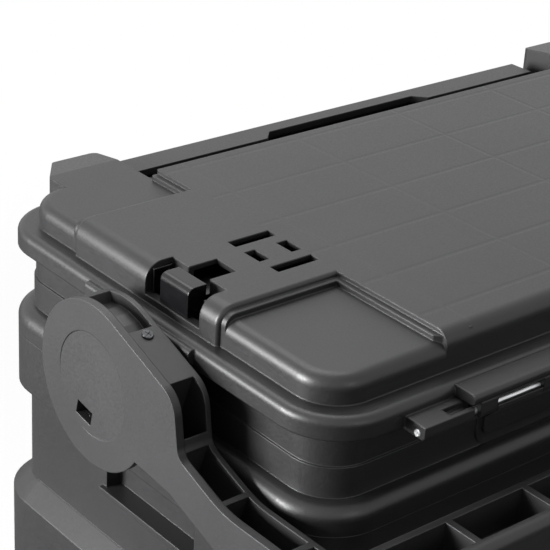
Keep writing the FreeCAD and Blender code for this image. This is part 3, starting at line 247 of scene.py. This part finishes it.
FINISHES = {
    "moulded_shell": shell_finish,
    "moulded_handle": handle_finish,
    "inner_plastic": inner_finish,
    "catch_plastic": catch_finish,
    "rubber": rubber_finish,
    "steel": zinc_finish,
}
slot_of = {part["node"]: part["material_slot"] for part in frame["record"]["subparts"]}
for name, node in nodes.items():
    node.data.materials.clear()
    node.data.materials.append(FINISHES[slot_of[name]])
nodes["lid_shell"].data.materials[0] = lid_finish
nodes["hinge_rod"].data.materials[0] = wire_finish
print("finished nodes:", len(slot_of))

# %% [markdown]
# Each handle arm is closed by a small screw that sits on the top of its hub block. The
# head is a short turned button with a cross recess, made here because it is only for the eye. The
# recess is not cut: its darkness is painted shade, a cross of near-black glossy plastic set into the
# head and standing a hair proud of it. It is drawn lying flat, then stood on the block's upper face,
# which falls at the slope of the arm.

# %% Hub screws
HUB_RADIUS = 0.045
ARM_SLOPE = math.radians(19.5)
SCREW_REACH = 0.014
HEAD_RADIUS = 0.0031
HEAD_HEIGHT = 0.0012
HEAD_SUNK = 0.0005
HEAD_ROUND = 0.0005
RECESS_WIDTH = 0.0007
RECESS_SHADE_PROUD = 0.00004
RECESS_TURN = 0.4


def disc(mesh, radius, low, high, segments=48):
    """A closed round plug between two heights, standing on the local Z axis."""
    made = bmesh.ops.create_cone(mesh, cap_ends=True, segments=segments, radius1=radius, radius2=radius,
                                 depth=high - low)
    bmesh.ops.translate(mesh, verts=made["verts"], vec=(0, 0, (low + high) / 2))


def bar(mesh, length, width, low, high, turn):
    """A flat bar, used as one arm of the dark cross that paints the shade of a cross recess."""
    made = bmesh.ops.create_cube(mesh, size=1.0)
    bmesh.ops.scale(mesh, verts=made["verts"], vec=(length, width, high - low))
    bmesh.ops.translate(mesh, verts=made["verts"], vec=(0, 0, (low + high) / 2))
    bmesh.ops.rotate(mesh, verts=made["verts"], matrix=Matrix.Rotation(turn, 3, "Z"))


def piece(name, mesh, finish, body):
    """A new piece: its mesh is already in place, its object stays at the origin and rides a body."""
    bmesh.ops.recalc_face_normals(mesh, faces=mesh.faces)
    data = bpy.data.meshes.new(name)
    mesh.to_mesh(data)
    mesh.free()
    made = bpy.data.objects.new(name, data)
    bpy.context.scene.collection.objects.link(made)
    data.materials.append(finish)
    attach(made, body)


def hub_screw(side, name):
    """A button head whose cross recess is painted shade, stood on the block of the arm on this side."""
    arm_low, arm_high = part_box("handle_arm_left" if side < 0 else "handle_arm_right")
    axis_low, axis_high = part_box("handle_bolt_left")
    pivot_y = (axis_low[1] + axis_high[1]) / 2
    pivot_z = (axis_low[2] + axis_high[2]) / 2
    along = (arm_low[0] + arm_high[0]) / 2
    up = Vector((0, -math.sin(ARM_SLOPE), math.cos(ARM_SLOPE)))
    out = Vector((0, -math.cos(ARM_SLOPE), -math.sin(ARM_SLOPE)))
    place = Vector((along, pivot_y, pivot_z)) + up * HUB_RADIUS + out * SCREW_REACH
    stand = Matrix.Translation(place) @ up.to_track_quat("Z", "X").to_matrix().to_4x4()
    mesh = bmesh.new()
    disc(mesh, HEAD_RADIUS, -HEAD_SUNK, HEAD_HEIGHT)
    edges = [edge for edge in mesh.edges if all(v.co.z > HEAD_HEIGHT * 0.9 for v in edge.verts)]
    bmesh.ops.bevel(mesh, geom=edges, affect="EDGES", offset=HEAD_ROUND, segments=4, profile=0.5, material=-1)
    bmesh.ops.transform(mesh, matrix=stand, verts=mesh.verts)
    piece(name, mesh, black_finish, "handle")
    # The recess is painted shade: near-black bars sunk into the head, their tops just proud of it, with no
    # hole cut.
    cross = bmesh.new()
    for turn in (RECESS_TURN, RECESS_TURN + math.pi / 2):
        bar(cross, HEAD_RADIUS * 1.15, RECESS_WIDTH, HEAD_HEIGHT * 0.4, HEAD_HEIGHT + RECESS_SHADE_PROUD, turn)
    bmesh.ops.transform(cross, matrix=stand, verts=cross.verts)
    piece(name + "_painted_recess_shade", cross, catch_finish, "handle")


for side, name in ((-1, "hub_screw_left"), (1, "hub_screw_right")):
    hub_screw(side, name)
print("hub screws stand", round(SCREW_REACH * 1000, 1), "mm along the arm from the handle axis")

# %% [markdown]
# The floor is a wide pale sheet and the world is white to the camera, as in a product picture.
# Mirrored rays see that white too, which gives the plastic its soft sheen and the wire its shine.
# Three large area lamps add the studio light: one overhead, a strong one past the left end, set
# back so that the hinge side stays dark, and a weak one on the hinge side. Only the camera sees the
# floor pale: to other rays it is dark, so it sends little light back up. It glows a little there, by
# BASE_GLOW, keeps a soft shadow round the box, and fades to plain white over SHADOW_REACH, in metres.

# %% Floor, world and lamps
FLOOR_HALF = 6.0
SHADOW_REACH = (0.3, 0.9)
BASE_GLOW = 0.55


def pale_ground():
    """A floor that the camera sees pale and that stays dark to every other ray."""
    mesh = bmesh.new()
    bmesh.ops.create_grid(mesh, x_segments=1, y_segments=1, size=FLOOR_HALF)
    data = bpy.data.meshes.new("floor")
    mesh.to_mesh(data)
    mesh.free()
    floor = bpy.data.objects.new("floor", data)
    bpy.context.scene.collection.objects.link(floor)
    material = bpy.data.materials.new("pale_floor")
    material.use_nodes = True
    tree = material.node_tree
    shader = tree.nodes["Principled BSDF"]
    shader.inputs["Roughness"].default_value = 0.9
    rays = add(tree, "ShaderNodeLightPath")
    paint = add(tree, "ShaderNodeMix", {"data_type": "RGBA"}, _0=rays.outputs["Is Camera Ray"],
                _6=linear("#5a5a5a"), _7=linear("#ececec"))
    tree.links.new(paint.outputs[2], shader.inputs["Base Color"])
    place = add(tree, "ShaderNodeTexCoord").outputs["Object"]
    away = add(tree, "ShaderNodeVectorMath", {"operation": "LENGTH"}, _0=place)
    fade = add(tree, "ShaderNodeMapRange", {"interpolation_type": "SMOOTHSTEP"}, Value=away.outputs["Value"],
               _1=SHADOW_REACH[0], _2=SHADOW_REACH[1], _3=BASE_GLOW, _4=1.0)
    shown = add(tree, "ShaderNodeMath", {"operation": "MULTIPLY"},
                _0=fade.outputs[0], _1=rays.outputs["Is Camera Ray"])
    glow = add(tree, "ShaderNodeEmission", Color=linear("#ffffff"), Strength=1.0)
    mixed = add(tree, "ShaderNodeMixShader", Fac=shown.outputs[0], _1=shader.outputs[0], _2=glow.outputs[0])
    tree.links.new(mixed.outputs[0], tree.nodes["Material Output"].inputs["Surface"])
    data.materials.append(material)


def white_world(strength):
    """White to the camera and in mirrored or clear surfaces, and a faint even light otherwise."""
    world = bpy.data.worlds.new("studio")
    bpy.context.scene.world = world
    world.use_nodes = True
    tree = world.node_tree
    tree.nodes.clear()
    rays = add(tree, "ShaderNodeLightPath")
    light = add(tree, "ShaderNodeBackground", Color=linear("#ffffff"), Strength=strength)
    seen = add(tree, "ShaderNodeBackground", Color=linear("#ffffff"), Strength=1.0)
    direct = rays.outputs["Is Camera Ray"]
    for kind in ("Is Glossy Ray", "Is Transmission Ray"):
        either = add(tree, "ShaderNodeMath", {"operation": "MAXIMUM"}, _0=direct, _1=rays.outputs[kind])
        direct = either.outputs[0]
    mixed = add(tree, "ShaderNodeMixShader", Fac=direct, _1=light.outputs[0], _2=seen.outputs[0])
    add(tree, "ShaderNodeOutputWorld", Surface=mixed.outputs[0])


def softbox(name, place, aim, size, watts):
    """A square area lamp that looks from its place at a point of the box."""
    data = bpy.data.lights.new(name, "AREA")
    data.shape = "SQUARE"
    data.size = size
    data.energy = watts
    lamp = bpy.data.objects.new(name, data)
    bpy.context.scene.collection.objects.link(lamp)
    lamp.location = place
    lamp.rotation_mode = "QUATERNION"
    lamp.rotation_quaternion = (Vector(place) - Vector(aim)).to_track_quat("Z", "Y")


pale_ground()
white_world(0.12)
softbox("overhead", (0.1, 0.7, 1.9), (0, 0, 0.3), 1.3, 16)
softbox("left_end", (-2.1, 0.8, 0.6), (-0.2, 0, 0.25), 0.9, 116)
softbox("hinge_side", (-0.2, -1.8, 1.0), (0, 0, 0.25), 0.8, 3)

# %% [markdown]
# The camera stands near the left end of the hinge side, about 26 degrees above the horizon, with
# the roll that the picture has. Its axes were worked out from the directions of the box's edges.

# %% Camera
RIGHT = Vector((0.77212, -0.63312, 0.05474))
UP = Vector((0.24157, 0.37209, 0.89621))
BACK = RIGHT.cross(UP)
STAND = Vector((-0.7387, -0.6456, 0.7562))
lens = bpy.data.cameras.new("camera")
lens.lens = 117.3
lens.sensor_width = 36
lens.clip_start = 0.05
lens.clip_end = 50
camera = bpy.data.objects.new("camera", lens)
bpy.context.scene.collection.objects.link(camera)
camera.matrix_world = Matrix.Translation(STAND) @ Matrix((RIGHT, UP, BACK)).transposed().to_4x4()
bpy.context.scene.camera = camera
bpy.context.scene.view_settings.view_transform = "Standard"
print("camera back axis:", [round(v, 3) for v in BACK])
